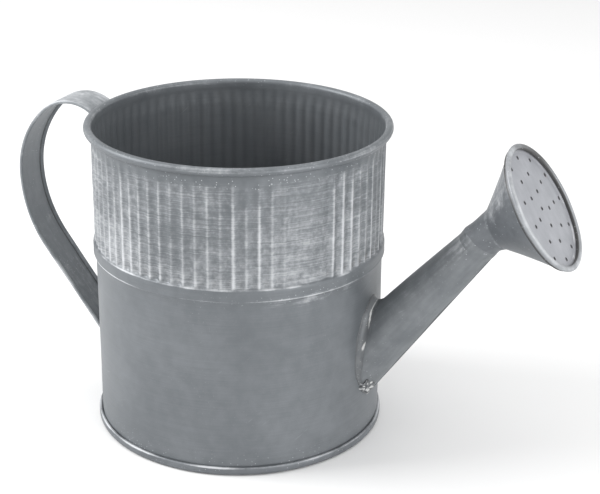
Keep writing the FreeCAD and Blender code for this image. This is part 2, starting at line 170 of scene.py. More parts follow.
class Swell:
    """Smooth random field in space: a sum of sine waves of about one wavelength."""

    def __init__(self, wavelength, waves=14):
        direction = rng.normal(size=(waves, 3))
        direction /= np.linalg.norm(direction, axis=1, keepdims=True)
        self.k = direction * 2 * math.pi / (wavelength * rng.uniform(0.6, 1.6, (waves, 1)))
        self.phase = rng.uniform(0, 2 * math.pi, waves)

    def __call__(self, points):
        waves = np.sin(points @ self.k.T + self.phase)
        return waves.sum(-1) / math.sqrt(self.k.shape[0])


def full_turn(count):
    """Angles that divide a full turn into equal steps."""
    return np.linspace(0, 2 * math.pi, count, endpoint=False)


def turned(radius, height, angle):
    """Points at an angle round the Z axis."""
    return np.stack([radius * np.cos(angle), radius * np.sin(angle), height], -1)


def revolved(rows, count):
    """Radius and height of every point of a grid made by turning rows of (radius, height)."""
    return rows[:, :1] + np.zeros(count), rows[:, 1:] + np.zeros(count)


def facing(degrees, middle, half_width):
    """1 at one side of a turn, falling away round it."""
    off = (degrees - middle + 180.0) % 360.0 - 180.0
    return np.exp(-(off / half_width) ** 2)


def keep(obj, node_name, material):
    """Material, slot and body of a piece, and the CAD node that it stands for if any."""
    obj.data.materials.append(material)
    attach(obj, "root")
    if node_name:
        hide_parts(node_name)
    return obj


# ------------------------------------------------------------- materials

class Tree:
    """Shorthand for building a node material."""

    def __init__(self, name):
        self.material = bpy.data.materials.new(name)
        self.material.use_nodes = True
        self.tree = self.material.node_tree
        self.tree.nodes.clear()
        coordinates = self.tree.nodes.new("ShaderNodeTexCoord")
        self.place = coordinates.outputs["Object"]

    def add(self, kind, inputs, **settings):
        node = self.tree.nodes.new(kind)
        for key, value in settings.items():
            setattr(node, key, value)
        for key, value in inputs.items():
            if isinstance(value, bpy.types.NodeSocket):
                self.tree.links.new(value, node.inputs[key])
            else:
                node.inputs[key].default_value = value
        return node

    def maths(self, operation, a, b=0.0, clamp=False):
        node = self.add("ShaderNodeMath", {0: a, 1: b}, operation=operation, use_clamp=clamp)
        return node.outputs[0]

    def weighted(self, *terms):
        """Sum of (value, weight) terms."""
        total = None
        for value, weight in terms:
            part = self.maths("MULTIPLY", value, weight)
            total = part if total is None else self.maths("ADD", total, part)
        return total

    def stretched(self, scale, turn=(0.0, 0.0, 0.0)):
        """Coordinates turned, then scaled, so that noise on them runs in streaks."""
        node = self.add("ShaderNodeMapping", {
            "Vector": self.place, "Scale": tuple(1.0 / s for s in scale), "Rotation": turn},
            vector_type="TEXTURE")
        return node.outputs[0]

    def noise(self, scale, detail=4.0, where=None, roughness=0.55):
        node = self.add("ShaderNodeTexNoise", {
            "Vector": where or self.place, "Scale": scale, "Detail": detail,
            "Roughness": roughness})
        return node.outputs["Fac"]

    def steps(self, value, low, high):
        """0 on low's side, 1 on high's side, smooth between."""
        node = self.add("ShaderNodeMapRange", {
            "Value": value, "From Min": low, "From Max": high}, interpolation_type="SMOOTHSTEP")
        return node.outputs["Result"]

    def dots(self, scale, size, rarity):
        """Small round specks, of which only some show."""
        cells = self.add("ShaderNodeTexVoronoi", {"Vector": self.place, "Scale": scale})
        near = self.steps(cells.outputs["Distance"], size, size * 0.55)
        split = self.add("ShaderNodeSeparateColor", {"Color": cells.outputs["Color"]})
        chosen = self.steps(split.outputs["Red"], rarity, rarity + 0.02)
        return self.maths("MULTIPLY", near, chosen)

    def mix(self, amount, first, second):
        node = self.add("ShaderNodeMix", {0: amount, 6: first, 7: second}, data_type="RGBA")
        return node.outputs[2]

    def distance(self, point):
        node = self.add("ShaderNodeVectorMath", {0: self.place, 1: tuple(point)},
                        operation="DISTANCE")
        return node.outputs["Value"]

    def mark(self, label):
        """Value that the mesh carries under a label."""
        node = self.tree.nodes.new("ShaderNodeAttribute")
        node.attribute_name = label
        return node.outputs["Fac"]

    def finish(self, colour, roughness, metallic, height, bump_distance):
        bump = self.add("ShaderNodeBump", {"Height": height, "Strength": 1.0,
                                           "Distance": bump_distance})
        shader = self.add("ShaderNodeBsdfPrincipled", {
            "Base Color": colour, "Roughness": roughness, "Metallic": metallic,
            "Normal": bump.outputs[0]})
        self.add("ShaderNodeOutputMaterial", {"Surface": shader.outputs[0]})
        return self.material


def rgb(red, green, blue):
    return (red, green, blue, 1.0)


# Near-black for painted shade in insides, hollows, creases and corners, and for some grime
SHADE_AND_GRIME = rgb(0.050, 0.048, 0.045)
ZINC_DARK = rgb(0.118, 0.128, 0.140)
ZINC_LIGHT = rgb(0.194, 0.208, 0.223)
CHALK = rgb(0.56, 0.575, 0.595)


def paint_body(t, mottle, streaks, dark, light, spots):
    """Colour of the paint under the wash: mottled, and darkened where the mesh marks it, mostly as
    painted shade in hollows, creases and insides, with some grime.
    """
    cloud = t.noise(22.0, 3.0)
    tone = t.weighted((cloud, 0.45), (mottle, 0.35), (streaks, 0.2))
    body = t.mix(t.steps(tone, 0.32, 0.78), dark, light)
    # Painted shade from the mesh's marks, with a little random darkening from the mottle
    shade_and_grime = t.weighted((t.mark("shade_and_grime"), 1.0), (mottle, 0.5))
    body = t.mix(t.maths("MULTIPLY", t.steps(shade_and_grime, 0.35, 1.2), 0.9), body, SHADE_AND_GRIME)
    for centre, radius, tint in spots:
        near = t.steps(t.distance(centre), radius, radius * 0.2)
        body = t.mix(t.maths("MULTIPLY", near, mottle), body, tint)
    return body


def brushed_wash(t, mottle, streaks):
    """Cover of the pale wash, broken up by the surface under it."""
    wash = t.mark("wash")
    flakes = t.noise(420.0, 6.0, roughness=0.65)
    broken = t.weighted((streaks, 0.6), (mottle, 0.3), (flakes, 0.55))
    cover = t.steps(t.maths("ADD", wash, broken), 0.86, 1.58)
    return t.maths("MULTIPLY", cover, t.steps(wash, 0.0, 0.2))


def pale_flecks(t, speck_rarity):
    """Specks and larger chips of wash where dust sticks, and faint scratches everywhere."""
    dust = t.mark("dust")
    specks = t.maths("MULTIPLY", t.dots(720.0, 0.22, speck_rarity), t.steps(dust, 0.05, 0.75))
    chips = t.maths("MULTIPLY", t.dots(330.0, 0.2, 0.93), t.steps(dust, 0.3, 1.0))
    brushed = t.stretched((420.0, 26.0, 55.0), (0.5, 0.9, 0.35))
    scratch = t.steps(t.noise(1.0, 3.0, brushed, 0.7), 0.68, 0.76)
    flecks = t.maths("MAXIMUM", t.maths("MULTIPLY", specks, 0.9), chips)
    return t.maths("MAXIMUM", flecks, t.maths("MULTIPLY", scratch, 0.13))


def zinc_paint(name, dark, light, chalk, streak_scale, speck_rarity, spots=(), lean=0.0):
    """Matt zinc-grey paint: mottled and streaked. The mesh marks where pale wash was
    brushed on, where dust specks stick and where the paint is darkened, mostly as painted
    shade in hollows, creases and insides, with some grime. The streaks lean back from X by
    an angle in the XZ plane. Noise and speck scales are per metre."""
    t = Tree(name)
    mottle = t.noise(150.0, 6.0)
    grain = t.noise(1100.0, 3.0)
    streaks = t.noise(1.0, 4.0, t.stretched(streak_scale, (0.0, -lean, 0.0)), 0.6)
    body = paint_body(t, mottle, streaks, dark, light, spots)
    cover = brushed_wash(t, mottle, streaks)
    pale = t.maths("MAXIMUM", cover, pale_flecks(t, speck_rarity), clamp=True)
    colour = t.mix(pale, body, chalk)
    rough = t.maths("ADD", t.weighted((mottle, 0.22), (pale, 0.2)), 0.34)
    height = t.weighted((grain, 0.3), (streaks, 0.4), (pale, 0.5))
    return t.finish(colour, rough, 0.3, height, 0.0001)


def wall_material():
    return zinc_paint("washed_zinc", rgb(0.123, 0.135, 0.146), rgb(0.190, 0.204, 0.218), CHALK,
                      (30.0, 30.0, 1900.0), 0.55)


def tube_material():
    return zinc_paint("grey_zinc", rgb(0.135, 0.147, 0.158), rgb(0.252, 0.267, 0.28), CHALK,
                      (26.0, 520.0, 520.0), 0.7, lean=SPOUT_TILT)


def cone_material():
    return zinc_paint("cone_zinc", ZINC_DARK, ZINC_LIGHT, CHALK, (40.0, 380.0, 380.0), 0.75,
                      lean=ROSE_TILT)


def strap_material():
    # Paler than the wall's paint to make up for the can's shade on the strap: painted light
    return zinc_paint("strap_zinc", rgb(0.19, 0.205, 0.219), rgb(0.295, 0.314, 0.331), CHALK,
                      (60.0, 420.0, 60.0), 0.6)


def base_material():
    return zinc_paint("base_zinc", ZINC_DARK, ZINC_LIGHT, CHALK, (40.0, 40.0, 700.0), 0.7)


def rose_material():
    """Paler plate, with one spot of rust and one bright spot near its edge."""
    _, side, below = tilted_axes(ROSE_TILT)
    rust = ROSE_CENTRE + 25.5 * MM * side - 9.5 * MM * below
    glint = ROSE_CENTRE + 27.0 * MM * side + 4.0 * MM * below
    return zinc_paint("rose_zinc", rgb(0.30, 0.31, 0.335), rgb(0.43, 0.44, 0.47),
                      rgb(0.66, 0.67, 0.69), (90.0, 300.0, 90.0), 0.9,
                      [(rust, 2.6 * MM, rgb(0.20, 0.095, 0.05)),
                       (glint, 1.8 * MM, rgb(0.95, 0.95, 0.95))])


def lip_material():
    # Paler than the cone's paint so that the lip's left and lower side read bright: painted light
    return zinc_paint("lip_zinc", rgb(0.24, 0.25, 0.265), rgb(0.38, 0.395, 0.415), CHALK,
                      (90.0, 200.0, 90.0), 0.75)


def solder_material():
    return zinc_paint("solder_paint", rgb(0.105, 0.113, 0.122), rgb(0.20, 0.21, 0.215),
                      rgb(0.62, 0.625, 0.62), (240.0, 240.0, 240.0), 0.5)


def wire_material():
    t = Tree("steel_wire")
    lines = t.noise(1.0, 3.0, t.stretched((500.0, 500.0, 2500.0)))
    colour = t.mix(lines, rgb(0.30, 0.30, 0.31), rgb(0.5, 0.5, 0.5))
    rough = t.maths("ADD", t.maths("MULTIPLY", lines, 0.2), 0.3)
    return t.finish(colour, rough, 0.9, lines, 0.00005)


# ------------------------------------------------------------------ body

def rib_shape(angle_deg):
    """Height of the ribbing from 0 in a valley to 1 on a crest, and where there are ribs."""
    pitch = (360.0 - BLANK_DEG) / (RIB_COUNT - 1)
    first = BLANK_AT_DEG + BLANK_DEG / 2
    along = (angle_deg - first + pitch / 2) % 360.0
    inside = along < RIB_COUNT * pitch
    index = np.clip(along // pitch, 0, RIB_COUNT - 1).astype(int)
    wave = 0.5 - 0.5 * np.cos(2 * math.pi * along / pitch)
    strength = rng.uniform(0.88, 1.06, RIB_COUNT)
    strength[-3:] *= (0.95, 0.75, 0.4)
    beyond = np.minimum(np.abs(along - RIB_COUNT * pitch), 360.0 - along)
    shape = np.where(inside, wave ** 1.3 * strength[index], 0.5 * ramp(0.0, 2.4, beyond))
    return shape, inside


def outer_rows():
    """(radius, height) up the outside of the wall, to the band's upper end."""
    rows = [(WALL_R, z) for z in np.linspace(WALL_LOW_Z, 91.6 * MM, 20)]
    for z in np.array([92.4, 93.2, 94.0, 94.8, 95.4, 95.8, 96.1, 96.35, 96.6, 96.9, 97.4, 98.0,
                       98.7, 99.5, 100.3, 101.0]) * MM:
        slope = WALL_R + (BULGE_R - WALL_R) * ramp(SHOULDER_LOW_Z - 1 * MM, SHOULDER_TOP_Z, z)
        rows.append((slope + RIDGE_OUT * bump_at(z, RIDGE_Z, 0.4 * MM), z))
    for z, inset in ((101.5, 0.06), (101.9, 0.18), (102.2, 0.26), (102.5, 0.42)):
        rows.append((BULGE_R - inset * MM, z * MM))
    low = np.linspace(RIB_LOW_Z, RIB_LOW_Z + 6 * MM, 10)
    high = np.linspace(RIB_LOW_Z + 9 * MM, RIB_TOP_Z + 1 * MM, 20)
    rows += [(CREST_R, z) for z in np.concatenate([low, high])]
    rows.append((CREST_R - 0.15 * MM, RIB_TOP_Z + 2.2 * MM))
    return rows


def bead_rows():
    """(radius, height) round the rolled rim."""
    angle = np.radians(np.linspace(222, 540, 21))
    radius = RIM_R - BEAD_R + BEAD_R * np.cos(angle)
    height = TOP_Z - BEAD_R + BEAD_R * np.sin(angle)
    return list(zip(radius, height))


def inner_rows():
    """(radius, height) down the inside of the wall."""
    rows = [(CREST_R - SHEET - 0.2 * MM, RIB_TOP_Z + 2.0 * MM)]
    rows += [(CREST_R - SHEET, z) for z in np.linspace(RIB_TOP_Z, RIB_LOW_Z + 1 * MM, 14)]
    rows.append((BULGE_R - SHEET, BULGE_TOP_Z))
    rows.append((BULGE_R - SHEET, SHOULDER_TOP_Z + 0.4 * MM))
    rows.append((WALL_R - SHEET + 0.6 * MM, SHOULDER_LOW_Z + 3.0 * MM))
    rows += [(WALL_R - SHEET, z) for z in np.linspace(92 * MM, WALL_LOW_Z, 9)]
    return rows


def body_sheet():
    """Wall and rolled rim in one sheet, ribbed in its band and slightly dented."""
    outside = outer_rows() + bead_rows()
    rows = np.array(outside + inner_rows())
    count = 800
    degrees = np.arange(count) * 360.0 / count
    angle = np.radians(degrees)
    shape, inside = rib_shape(degrees)
    r, z = revolved(rows, count)
    band = ramp(RIB_LOW_Z - 0.5 * MM, RIB_LOW_Z + 1.0 * MM, z)
    band *= 1 - ramp(RIB_TOP_Z - 3.5 * MM, RIB_TOP_Z + 0.6 * MM, z)
    dimple = bump_at(z, DIMPLE_Z, 2.4 * MM) * DIMPLE_DEPTH
    r = r - band * (1 - shape) * (RIB_DEPTH + dimple * inside)
    points = turned(r, z, angle)
    soft, fine = Swell(0.085), Swell(0.022)
    plain = 1 - ramp(160 * MM, 162 * MM, z)
    r = r + plain * (soft(points) * 0.16 * MM + fine(points) * 0.03 * MM)
    points = turned(r, z, angle)
    shown = (np.arange(len(rows))[:, None] < len(outside)) * 1.0
    marks = {"wash": wall_wash(points, z, band, shape * inside, degrees) * shown,
             "dust": wall_dust(points, z, degrees) * shown,
             "shade_and_grime": wall_shade(z, band, shape, inside, degrees, len(outside))}
    return skin("can_body", points, marks=marks)


def wall_wash(points, z, band, rib, degrees):
    """White wash brushed over the crests, heaviest low on the band; the extra at the left and front
    right is painted light.
    """
    patch, blotch = Swell(0.05)(points), Swell(0.012)(points)
    crest = band * np.clip(rib, 0, 1) ** 8
    low = 1 - ramp(RIB_LOW_Z + 3 * MM, RIB_LOW_Z + 30 * MM, z)
    faded = ramp(RIB_TOP_Z + 2 * MM, RIB_TOP_Z - 14 * MM, z)
    # Painted light: paler towards the lit left and the front right
    lit_left = facing(degrees, 215.0, 45.0)
    right = facing(degrees, 335.0, 30.0)
    wash = band * (0.21 + 0.11 * low + 0.10 * lit_left + 0.07 * right + 0.05 * patch + 0.02 * blotch)
    chalked = 0.11 + 0.24 * faded + 0.07 * low + 0.07 * patch + 0.06 * blotch
    wash += crest * chalked * (1 - 0.5 * lit_left)
    wash += (0.36 + 0.2 * patch + 0.2 * blotch) * bump_at(z, 102.4 * MM, 0.5 * MM)
    # Painted highlight along the ridge, strongest at the left
    ridge_highlight = facing(degrees, 225.0, 38.0) + 0.5 * facing(degrees, 330.0, 28.0)
    wash += (0.85 * ridge_highlight + 0.2 * patch) * bump_at(z, RIDGE_Z, 0.35 * MM)
    scuffed = facing(degrees, 325.0, 24.0) * bump_at(z, 95.0 * MM, 3.5 * MM)
    wash += scuffed * np.clip(0.26 + 0.12 * blotch, 0, 1)
    wash += (0.22 + 0.12 * patch) * bump_at(z, TOP_Z - 1.2 * MM, 1.6 * MM)
    return np.clip(wash, 0, 1.2)


def wall_dust(points, z, degrees):
    """Where flecks of wash landed: under the rim, on the shoulder, few elsewhere."""
    patch = Swell(0.03)(points)
    dust = 1.2 * bump_at(z, 158 * MM, 4 * MM) * (facing(degrees, 315.0, 45.0) + 0.15)
    dust += 0.5 * bump_at(z, 97 * MM, 4 * MM) * facing(degrees, 320.0, 40.0)
    dust += 0.35 * bump_at(z, TOP_Z, 3 * MM) + 0.3 * bump_at(z, 6 * MM, 5 * MM)
    return np.clip(dust + 0.12 + 0.08 * patch, 0, 1)


def wall_shade(z, band, shape, inside, degrees, first_inner):
    """Painted shade: dark dimples between the ribs' lower ends, heavier on the right, a dark
    line over the base hoop and one under the rim, and a darkened inside."""
    between = band * inside * (1 - np.clip(shape, 0, 1)) ** 2
    low = bump_at(z, DIMPLE_Z, 2.2 * MM)
    shade_and_grime = between * low * (0.35 + 0.5 * facing(degrees, 358.0, 26.0))
    shade_and_grime += 0.4 * bump_at(z, SEAM_HIGH.z + 0.4 * MM, 0.7 * MM)
    shade_and_grime += 0.3 * bump_at(z, RIB_TOP_Z + 2.4 * MM, 1.0 * MM)
    shade_and_grime[first_inner:] = 0.25
    return np.clip(shade_and_grime, 0, 1)


def water_way_cutter():
    """Plug a little narrower than the spout's inside, through the wall behind it."""
    axis, _, _ = tilted_axes(SPOUT_TILT)
    rings = []
    for along in np.array([-26.0, -8.0, 10.0, 24.0]) * MM:
        radius = spout_radius(along) - WATER_WAY_CLEARANCE
        rings.append(ring_points(SPOUT_LOW + axis * along, SPOUT_TILT, radius, 64))
    cutter = skin("water_way_cutter", np.array(rings), along=False)
    edit = bmesh.new()
    edit.from_mesh(cutter.data)
    bmesh.ops.holes_fill(edit, edges=[e for e in edit.edges if e.is_boundary])
    bmesh.ops.recalc_face_normals(edit, faces=edit.faces)
    edit.to_mesh(cutter.data)
    edit.free()
    return cutter


def cut_water_way(sheet):
    """Opens the wall behind the spout."""
    cutter = water_way_cutter()
    modifier = sheet.modifiers.new("water_way", "BOOLEAN")
    modifier.operation = "DIFFERENCE"
    modifier.solver = "EXACT"
    modifier.object = cutter
    bpy.context.view_layer.update()
    graph = bpy.context.evaluated_depsgraph_get()
    result = bpy.data.meshes.new_from_object(sheet.evaluated_get(graph))
    sheet.modifiers.clear()
    sheet.data = result
    bpy.data.objects.remove(cutter)
    return sheet


def base_hoop():
    """Folded seam round the base, slightly uneven."""
    outer = SEAM_HIGH.x
    inner = outer - HOOP_WIDTH
    high = SEAM_HIGH.z
    rows = np.array([
        (inner, 1.9 * MM), (inner, 0.4 * MM), (inner + 0.4 * MM, 0.0), (outer - 0.9 * MM, 0.0),
        (outer - 0.35 * MM, 0.22 * MM), (outer, 0.9 * MM), (outer + 0.02 * MM, 2.0 * MM),
        (outer - 0.02 * MM, high - 1.1 * MM), (outer - 0.3 * MM, high - 0.4 * MM),
        (outer - 0.75 * MM, high - 0.05 * MM), (WALL_R + 0.1 * MM, high - 0.15 * MM),
        (WALL_R - 0.1 * MM, high - 0.6 * MM), (WALL_R - 0.1 * MM, 0.7 * MM),
        (inner + 0.7 * MM, 0.7 * MM), (inner + 0.7 * MM, 1.9 * MM)])
    angle = full_turn(400)
    r, z = revolved(rows, angle.size)
    points = turned(r, z, angle)
    r = r + Swell(0.02)(points) * 0.10 * MM * ramp(0.3 * MM, 1.0 * MM, z)
    wash = 0.75 * bump_at(z, high - 0.4 * MM, 0.5 * MM) * (0.7 + 0.4 * Swell(0.03)(points))
    marks = {"wash": np.clip(wash, 0, 1), "dust": 0.5 * ramp(0.5 * MM, 2 * MM, z)}
    return skin("base_hoop", turned(r, z, angle), marks=marks)


# ----------------------------------------------------------------- spout

def tilted_axes(tilt):
    """Axis, side and underside of something that leans up from X by an angle."""
    axis = np.array([math.cos(tilt), 0.0, math.sin(tilt)])
    side = np.array([0.0, 1.0, 0.0])
    below = np.array([math.sin(tilt), 0.0, -math.cos(tilt)])
    return axis, side, below


def ring_points(centre, tilt, radius, count):
    """Circle across a tilted axis; angle 0 is its underside, and it turns towards +Y."""
    _, side, below = tilted_axes(tilt)
    a = full_turn(count)
    return centre + radius * (np.cos(a)[:, None] * below + np.sin(a)[:, None] * side)


def spout_radius(along):
    return SPOUT_LOW_R - SPOUT_TAPER * along


def spout_point(along, angle, extra):
    """Point beside the spout's axis, extra metres out from its surface."""
    axis, side, below = tilted_axes(SPOUT_TILT)
    radius = spout_radius(along) + extra
    across = np.cos(angle)[..., None] * below + np.sin(angle)[..., None] * side
    return SPOUT_LOW + along[..., None] * axis + radius[..., None] * across


def root_along(angle, extra, wall_r):
    """How far along the spout's axis each line down its side meets the round wall."""
    along = np.zeros_like(angle)
    for _ in range(30):
        point = spout_point(along, angle, extra)
        reach = np.sqrt(np.maximum(wall_r ** 2 - point[..., 1] ** 2, 0))
        along = along + (reach - point[..., 0]) / math.cos(SPOUT_TILT)
    return along


def spout_tube():
    """Tapered sheet tube, up the outside from the wall and back down the inside."""
    angle = full_turn(120)
    end = SOCKET_START + 3 * MM
    dents = Swell(0.045)
    shells = []
    for extra, steps in ((0.0, np.linspace(0, 1, SPOUT_OUTER_ROWS)),
                         (-SHEET, np.linspace(1, 0, SPOUT_INNER_ROWS))):
        root = root_along(angle, np.full_like(angle, extra), WALL_R - 0.02 * MM)
        along = root + (end - root) * steps[:, None]
        points = spout_point(along, angle, extra + np.zeros_like(along))
        shells.append(spout_point(along, angle, extra + dents(points) * 0.14 * MM))
    points = np.concatenate(shells)
    return skin("spout_sheet", points, marks=spout_marks(points, angle))


def spout_marks(points, angle):
    """Paler along the spout's upper left side as painted light, wash at the neck; dark inside as
    painted shade.
    """
    axis, _, _ = tilted_axes(SPOUT_TILT)
    along = (points - SPOUT_LOW) @ axis
    upper_left = ramp(0.80, 1.0, np.cos(angle + math.radians(128.0)))
    top = ramp(0.1, 0.8, -np.cos(angle - math.radians(25.0)))
    patch, blotch = Swell(0.03)(points), Swell(0.005)(points)
    # Painted light: paler on the upper left side
    wash = 0.16 * upper_left * ramp(20 * MM, 45 * MM, along)
    wash = wash + bump_at(along, 83 * MM, 6 * MM) * top * np.clip(0.2 + 0.05 * blotch, 0, 1)
    wash = wash + 0.07 * np.clip(patch, 0, 2)
    dust = 0.25 + 0.5 * bump_at(along, 84 * MM, 8 * MM) + 0.4 * bump_at(along, -8 * MM, 8 * MM)
    shade_and_grime = np.zeros_like(along)
    # Painted shade down the inside
    shade_and_grime[SPOUT_OUTER_ROWS:] = 0.8
    return {"wash": np.clip(wash, 0, 1), "dust": dust, "shade_and_grime": shade_and_grime}


def root_fillet():
    """Solder dished into the corner between spout and wall, widest above the spout."""
    angle = full_turn(220)
    nothing = np.zeros_like(angle)
    root = root_along(angle, nothing, WALL_R)
    corner = spout_point(root, angle, nothing)
    uneven = 1 + 0.12 * Swell(0.012)(corner)
    top = ramp(-0.9, 0.8, -np.cos(angle))
    spread = (0.5 + 4.2 * top) * uneven * MM
    climb = (1.4 + 6.4 * top) * uneven * MM
    foot = spout_point(root_along(angle, spread, WALL_R + 0.03 * MM), angle, spread)
    head = spout_point(root + climb, angle, nothing + 0.12 * MM)
    outward = corner * np.array([1.0, 1.0, 0.0])
    outward /= np.linalg.norm(outward, axis=1, keepdims=True)
    filled = 0.55 * ramp(0.4, 1.0, -np.cos(angle))[:, None]
    bend = corner * (1 - filled) + (head + foot) / 2 * filled
    rows = [head - 0.25 * MM * outward]
    steps = np.linspace(0, 1, 12)
    for s in steps:
        curve = (1 - s) ** 2 * head + 2 * s * (1 - s) * bend + s ** 2 * foot
        rows.append(curve + outward * math.sin(math.pi * s) * SOLDER_RISE)
    rows += [foot - 0.35 * MM * outward, corner - 0.4 * MM * outward]
    points = np.array(rows)
    t = np.concatenate([[0], steps, [1, 1]])[:, None] + nothing
    marks = fillet_marks(points, t, np.degrees(angle))
    return skin("root_fillet", points[::-1], marks={k: v[::-1] for k, v in marks.items()})


def fillet_marks(points, t, turn):
    """Painted highlight along the crease and one painted glint, wash in patches low down, painted
    shade at the foot and beside the line; t runs from 0 on the spout to 1 on the wall.
    """
    lumps = Swell(0.006)(points)
    # Painted highlight: where the white line runs across the fillet
    highlight_line = 0.08 + 0.36 * ramp(248.0, 205.0, turn)
    wash = (1.0 + 0.3 * lumps) * bump_at(t, highlight_line, 0.06) * facing(turn, 212.0, 34.0)
    # Painted glint on a small bump
    wash += 1.3 * bump_at(t, 0.2, 0.14) * facing(turn, 256.5, 3.6)
    wash += np.clip(0.2 + 0.5 * lumps, 0, 1) * facing(turn, 335.0, 24.0)
    dust = 0.3 + 0.6 * facing(turn, 345.0, 30.0) + 0 * t
    # Painted shade along the foot and beside the highlight line
    shade_and_grime = 0.5 * bump_at(t, 1.0, 0.12) + 0.35 * bump_at(t, 0.35, 0.2) * facing(turn, 225.0, 45.0)
    return {"wash": np.clip(wash, 0, 1.3), "dust": dust, "shade_and_grime": np.clip(shade_and_grime, 0, 1)}


def solder_crust():
    """Lumpy blob of solder that ran down and set low on the spout's root."""
    theta = np.linspace(0.02, math.pi - 0.02, 34)[:, None]
    phi = full_turn(68)
    unit = np.stack([np.sin(theta) * np.cos(phi), np.sin(theta) * np.sin(phi),
                     np.cos(theta) + 0 * phi], -1)
    ball = unit * CRUST_HALF_SIZES
    lumps = Swell(0.0026)
    blob = ball * (1 + 0.28 * lumps(ball))[..., None]
    middle = math.radians(CRUST_AT_DEG)
    root = root_along(np.array([middle]), np.zeros(1), WALL_R)[0]
    points = spout_point(root + CRUST_UP + blob[..., 1], middle + blob[..., 0] / SPOUT_LOW_R,
                         CRUST_OUT + blob[..., 2])
    wash = np.clip(0.3 + 0.5 * lumps(ball * 1.7), 0, 1)
    shade_and_grime = np.clip(-0.6 * lumps(ball * 2.3), 0, 1)
    marks = {"wash": wash, "dust": 0.8 + 0 * wash, "shade_and_grime": shade_and_grime}
    return skin("solder_crust", points, along=False, marks=marks)


# ------------------------------------------------------------------ rose

def rose_rings(extra):
    """(centre, tilt, radius) of rings from the socket to the lip."""
    axis, _, below = tilted_axes(SPOUT_TILT)
    rose_axis, _, _ = tilted_axes(ROSE_TILT)
    socket_r = spout_radius(SOCKET_START) + SOCKET_OVER
    back, cone_r = ROSE_FLARE[::-1].T
    rings = []
    for t in np.linspace(0, 0.85, 7):
        along = SOCKET_START + (SOCKET_END - SOCKET_START) * t
        centre = SPOUT_LOW + axis * along + below * SOCKET_DROP * t
        rings.append((centre, SPOUT_TILT, socket_r - SOCKET_NARROWING * t))
    neck, _, neck_r = rings[-1]
    first = ROSE_CENTRE - rose_axis * back[0]
    for t in np.linspace(0.2, 0.9, 6):
        swing = t * t * (3 - 2 * t)
        rings.append((neck + (first - neck) * t, SPOUT_TILT + (ROSE_TILT - SPOUT_TILT) * swing,
                      neck_r + (cone_r[0] - neck_r) * t ** 1.5))
    for distance in np.linspace(back[0], back[-1], 26):
        radius = np.interp(-distance, -back, cone_r)
        rings.append((ROSE_CENTRE - rose_axis * distance, ROSE_TILT, radius))
    return [(centre, tilt, radius + extra) for centre, tilt, radius in rings]


def rose_sheet():
    """Socket and cone, up the outside to the lip and back down the inside."""
    outer = [ring_points(c, t, r, ROSE_COLUMNS) for c, t, r in rose_rings(0.0)]
    inner = [ring_points(c, t, r, ROSE_COLUMNS) for c, t, r in rose_rings(-SHEET)]
    points = np.array(outer + inner[::-1])
    rose_axis, _, _ = tilted_axes(ROSE_TILT)
    outward = points - points.mean(axis=1, keepdims=True)
    outward /= np.linalg.norm(outward, axis=-1, keepdims=True)
    calm = ramp(ROSE_FACE_BACK, ROSE_FACE_BACK + 4 * MM, (ROSE_CENTRE - points) @ rose_axis)
    dents = Swell(0.03)(points)
    points = points + outward * (dents * 0.13 * MM * calm)[..., None]
    return skin("rose_sheet", points, marks=rose_marks(points, len(outer)))


def rose_marks(points, first_inner):
    """Wash on the neck's upper left and on one side of the cone; dark inside as painted shade that
    shows through the holes.
    """
    rose_axis, _, _ = tilted_axes(ROSE_TILT)
    spout_axis, _, _ = tilted_axes(SPOUT_TILT)
    a = full_turn(ROSE_COLUMNS)
    along = (points - SPOUT_LOW) @ spout_axis
    back = (ROSE_CENTRE - points) @ rose_axis
    upper_left = ramp(0.1, 0.9, -np.cos(a)) * ramp(-0.4, 0.6, -np.sin(a))
    blotch = Swell(0.006)(points)
    wash = bump_at(along, 92 * MM, 6 * MM) * upper_left * np.clip(0.2 + 0.06 * blotch, 0, 1)
    wash += 0.3 * bump_at(back, 27 * MM, 0.5 * MM) * ramp(-0.9, 0.2, -np.sin(a))
    wash += 0.32 * ramp(0.7, 1.0, np.cos(a + math.radians(150.0))) * ramp(95 * MM, 112 * MM, along)
    wash += 0.05 * np.clip(Swell(0.02)(points), 0, 2)
    shade_and_grime = np.zeros_like(along)
    # Painted shade on the whole inside
    shade_and_grime[first_inner:] = 1.0
    return {"wash": np.clip(wash, 0, 1), "dust": 0.55 + 0 * along, "shade_and_grime": shade_and_grime}


def neck_joint():
    """Solder wiped smooth over the step between the spout and the rose's socket."""
    start, length = SOCKET_START - 5.5 * MM, 9.0 * MM
    rows = []
    for t in np.linspace(0, 1, 12):
        rise = 0.77 * MM * ramp(0.0, 0.62, t) - 0.35 * MM - 0.35 * MM * ramp(0.75, 1.0, t)
        rows.append((start + length * t, spout_radius(start + length * t) + 0.02 * MM + rise))
    rows += [(start + length, rows[-1][1] - 0.3 * MM), (start, rows[0][1] - 0.3 * MM)]
    axis, _, below = tilted_axes(SPOUT_TILT)
    rings = []
    for along, radius in rows:
        drop = SOCKET_DROP * max(0.0, (along - SOCKET_START) / (SOCKET_END - SOCKET_START))
        centre = SPOUT_LOW + axis * along + below * drop
        rings.append(ring_points(centre, SPOUT_TILT, radius, ROSE_COLUMNS))
    points = np.array(rings)
    top = ramp(0.1, 0.8, -np.cos(full_turn(ROSE_COLUMNS) - math.radians(25.0)))
    wash = top * np.clip(0.2 + 0.05 * Swell(0.005)(points), 0, 1)
    return skin("neck_joint", points, marks={"wash": wash, "dust": 0.6 + 0 * wash})


def rose_turned(rows):
    """Grid of points made by turning rows of (radius, height over the rim plane) round the
    rose's axis."""
    axis, _, _ = tilted_axes(ROSE_TILT)
    rings = [ring_points(ROSE_CENTRE + h * axis, ROSE_TILT, r, LIP_COLUMNS) for r, h in rows]
    return np.array(rings)


